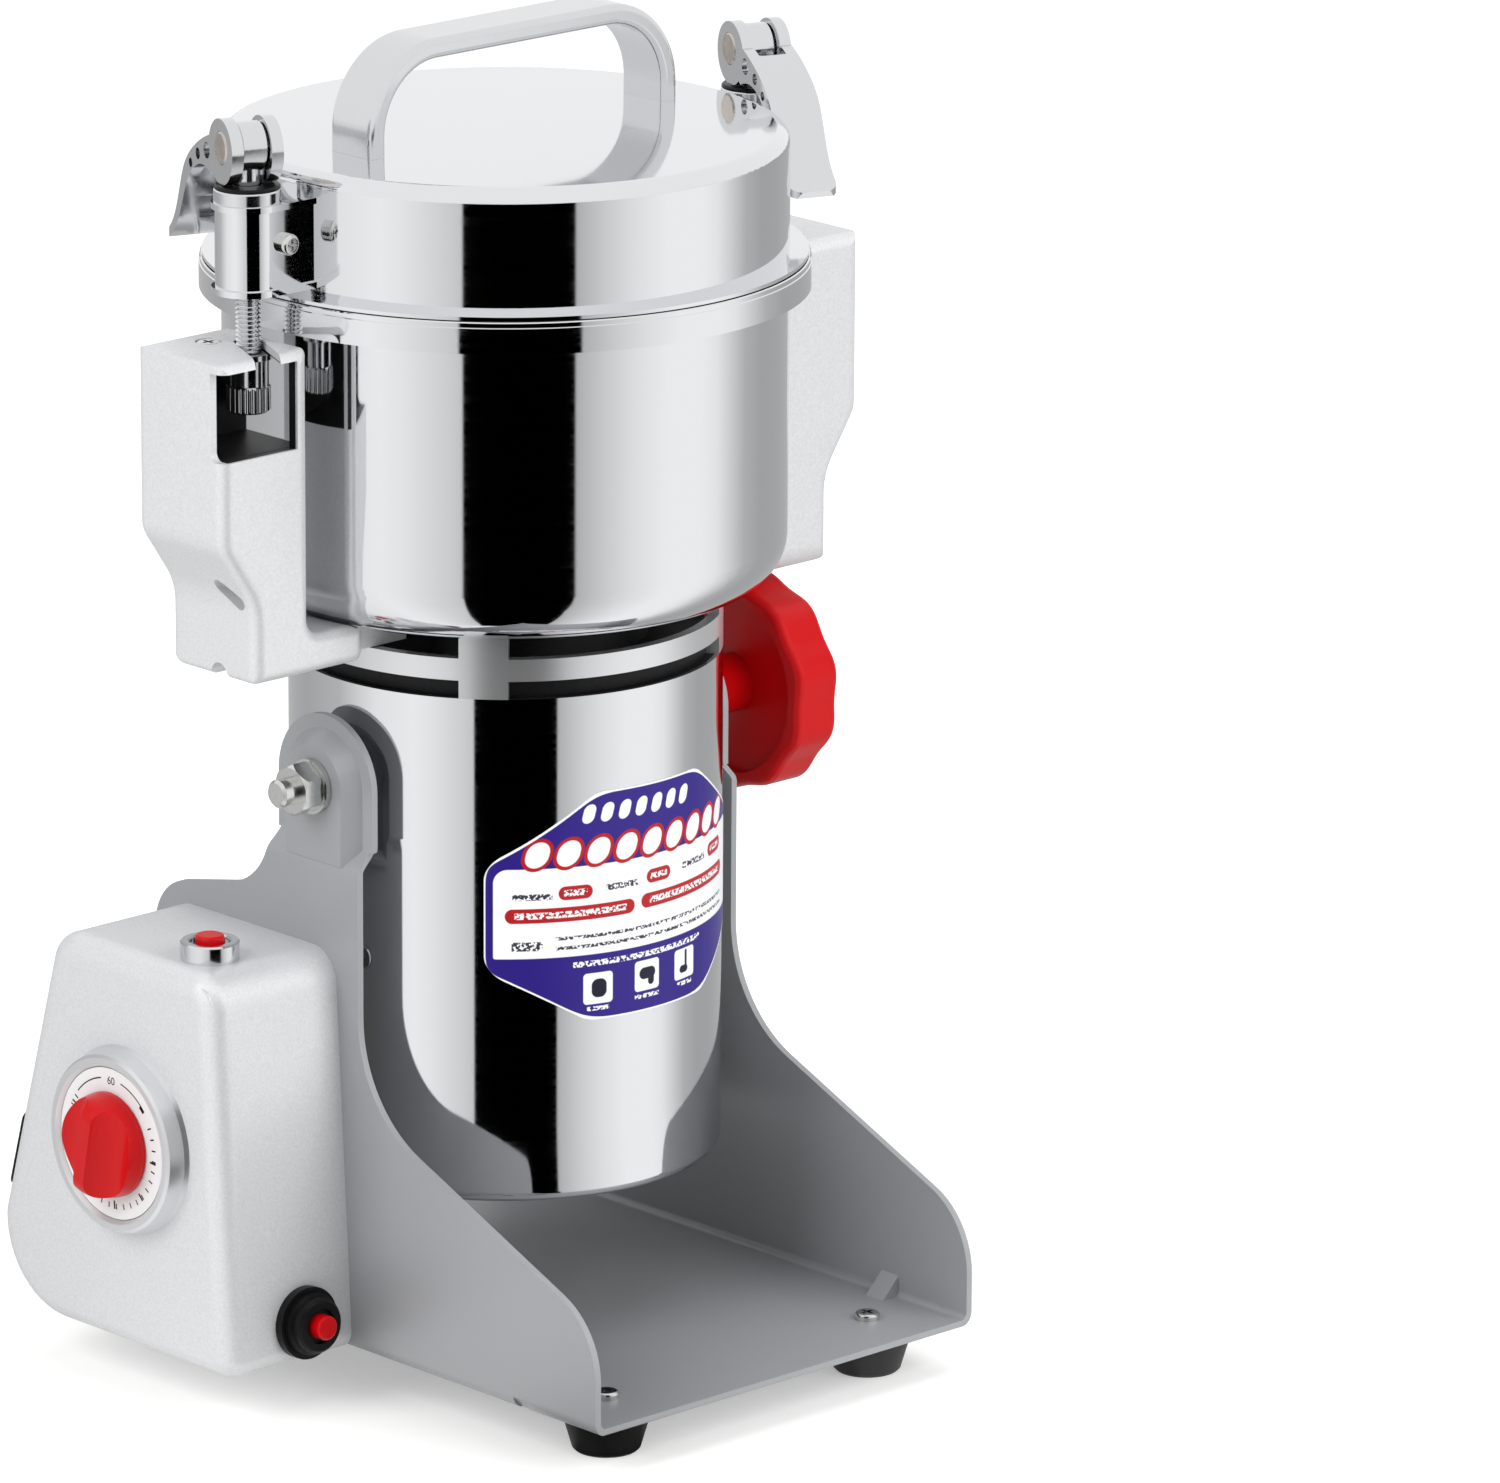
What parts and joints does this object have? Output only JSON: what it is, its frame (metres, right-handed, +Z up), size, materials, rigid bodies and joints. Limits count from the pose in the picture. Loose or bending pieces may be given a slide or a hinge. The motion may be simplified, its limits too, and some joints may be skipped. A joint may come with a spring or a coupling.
{
  "type": "tilting electric grain mill",
  "caption": "Tilting electric grain mill: U-shaped sheet frame with a timer box, motor tube, clamped-lid grinding bowl and lock knob.",
  "frame": {"origin": "on the bench under the middle of the overall footprint", "axes": "+Z up along the bowl's axis; -Y is the front, where the tray is open; +X is the lock knob's side"},
  "size_m": [0.2532, 0.2019, 0.3808],
  "materials": {
    "frame_paint": "satin grey powder coat",
    "cast_silver": "cast aluminium under fine sand-textured silver paint",
    "polished_steel": "mirror polished stainless steel",
    "clamp_chrome": "polished plated steel",
    "plain_steel": "plain machined steel",
    "zinc": "bright zinc plate",
    "black_rubber": "matt black rubber",
    "black_plastic": "matt black plastic",
    "red_plastic": "glossy red plastic",
    "yellow_plastic": "yellow plastic",
    "dial_silver": "silver painted ring",
    "dial_white": "white printed dial",
    "label_film": "printed film in violet, white and red",
    "dark_casting": "cast aluminium under black paint",
    "cast_aluminium": "plain cast aluminium",
    "core_steel": "stacked sheet steel",
    "copper": "enamelled copper",
    "pin_bronze": "dull bronze",
    "carbon": "pressed carbon",
    "fan_plastic": "black moulded plastic",
    "seal_rubber": "off-white silicone rubber"
  },
  "bodies": {
    "base": {"frame": "frame_paint", "rubber_feet": "black_rubber", "foot_screws": "zinc", "wire_grommet": "yellow_plastic", "control_box": "cast_silver", "box_screws": "zinc", "dial_ring": "dial_silver", "dial_plate": "dial_white", "timer_body": "black_plastic", "power_switch": "clamp_chrome", "reset_breaker": "black_plastic", "power_inlet": "black_plastic"},
    "timer_knob_body": {"timer_knob": "red_plastic"},
    "power_button_body": {"power_button": "red_plastic"},
    "reset_button_body": {"reset_button": "red_plastic"},
    "mill": {"motor_tube": "polished_steel", "bottom_cover": "dark_casting", "mill_screws": "zinc", "lower_shield": "cast_aluminium", "bearings": "plain_steel", "stator": "core_steel", "field_coils": "copper", "brush_holders": "black_plastic", "carbon_brushes": "carbon", "end_bell": "dark_casting", "cooling_band": "polished_steel", "bowl": "polished_steel", "hub_plate": "plain_steel", "shaft_seal": "black_rubber", "label": "label_film", "clamp_arms": "cast_silver", "arm_screws": "zinc", "pivot_washers": "zinc", "pivot_studs": "zinc", "pivot_nut": "zinc"},
    "lock_knob_body": {"lock_knob": "red_plastic"},
    "rotor": {"motor_shaft": "plain_steel", "armature": "core_steel", "commutator": "copper", "cooling_fan": "fan_plastic", "blades": "plain_steel", "blade_spacers": "plain_steel", "blade_nut": "plain_steel"},
    "lid": {"lid_gasket": "seal_rubber", "lid_shell": "polished_steel", "lid_handle": "polished_steel", "bolt_sleeves": "polished_steel", "clamp_collars": "clamp_chrome", "cam_seats": "black_plastic", "sleeve_screws": "zinc"},
    "bolt_left": {"eye_bolt_left": "clamp_chrome", "lever_pin_left": "pin_bronze"},
    "lever_left": {"clamp_lever_left": "clamp_chrome"},
    "washer_left": {"nut_washer_left": "clamp_chrome"},
    "nut_left": {"knurled_nut_left": "clamp_chrome"},
    "bolt_right": {"eye_bolt_right": "clamp_chrome", "lever_pin_right": "pin_bronze"},
    "lever_right": {"clamp_lever_right": "clamp_chrome"},
    "washer_right": {"nut_washer_right": "clamp_chrome"},
    "nut_right": {"knurled_nut_right": "clamp_chrome"}
  },
  "joints": [
    {"name": "mill_tilt", "type": "hinge", "parent": "base", "child": "mill", "pos_m": [0.0071, 0.015, 0.174], "axis": [1, 0, 0], "range_deg": [0, 105]},
    {"name": "lock_knob_turn", "type": "hinge", "parent": "mill", "child": "lock_knob_body", "pos_m": [0.0971, 0.015, 0.174], "axis": [1, 0, 0], "range_deg": [0, 360]},
    {"name": "timer_turn", "type": "hinge", "parent": "base", "child": "timer_knob_body", "pos_m": [-0.1159, 0.0426, 0.0744], "axis": [1, 0, 0], "range_deg": [0, 300]},
    {"name": "power_button_press", "type": "slide", "parent": "base", "child": "power_button_body", "axis": [0, 0, -1], "range_m": [0, 0.002], "stiffness_N_per_m": 600},
    {"name": "reset_button_press", "type": "slide", "parent": "base", "child": "reset_button_body", "axis": [0, 0.9984, -0.0564], "range_m": [0, 0.002], "stiffness_N_per_m": 600},
    {"name": "rotor_spin", "type": "hinge", "parent": "mill", "child": "rotor", "pos_m": [0.0071, 0.015, 0.2], "axis": [0, 0, 1], "continuous": true},
    {"name": "lid_lift", "type": "slide", "parent": "mill", "child": "lid", "axis": [0, 0, 1], "range_m": [0, 0.045]},
    {"name": "bolt_left_slide", "type": "slide", "parent": "lid", "child": "bolt_left", "axis": [0, 0, -1], "range_m": [0, 0.0023]},
    {"name": "lever_left_turn", "type": "hinge", "parent": "bolt_left", "child": "lever_left", "pos_m": [-0.0874, 0.015, 0.35868], "axis": [0.9397, -0.342, 0], "range_deg": [0, 120]},
    {"name": "washer_left_drop", "type": "slide", "parent": "mill", "child": "washer_left", "axis": [0, 0, -1], "range_m": [0, 0.0023]},
    {"name": "nut_left_spin", "type": "hinge", "parent": "washer_left", "child": "nut_left", "pos_m": [-0.0874, 0.015, 0.292], "axis": [0, 0, 1], "continuous": true},
    {"name": "bolt_right_slide", "type": "slide", "parent": "lid", "child": "bolt_right", "axis": [0, 0, -1], "range_m": [0, 0.0023]},
    {"name": "lever_right_turn", "type": "hinge", "parent": "bolt_right", "child": "lever_right", "pos_m": [0.1016, 0.015, 0.35868], "axis": [-0.9397, 0.342, 0], "range_deg": [0, 120]},
    {"name": "washer_right_drop", "type": "slide", "parent": "mill", "child": "washer_right", "axis": [0, 0, -1], "range_m": [0, 0.0023]},
    {"name": "nut_right_spin", "type": "hinge", "parent": "washer_right", "child": "nut_right", "pos_m": [0.1016, 0.015, 0.292], "axis": [0, 0, 1], "continuous": true}
  ],
  "couplings": [
    {"joint": "bolt_left_slide", "follows": "lever_left_turn", "m_per_rad": 0.001075},
    {"joint": "washer_left_drop", "follows": "lever_left_turn", "m_per_rad": 0.001075},
    {"joint": "bolt_right_slide", "follows": "lever_right_turn", "m_per_rad": 0.001075},
    {"joint": "washer_right_drop", "follows": "lever_right_turn", "m_per_rad": 0.001075}
  ]
}
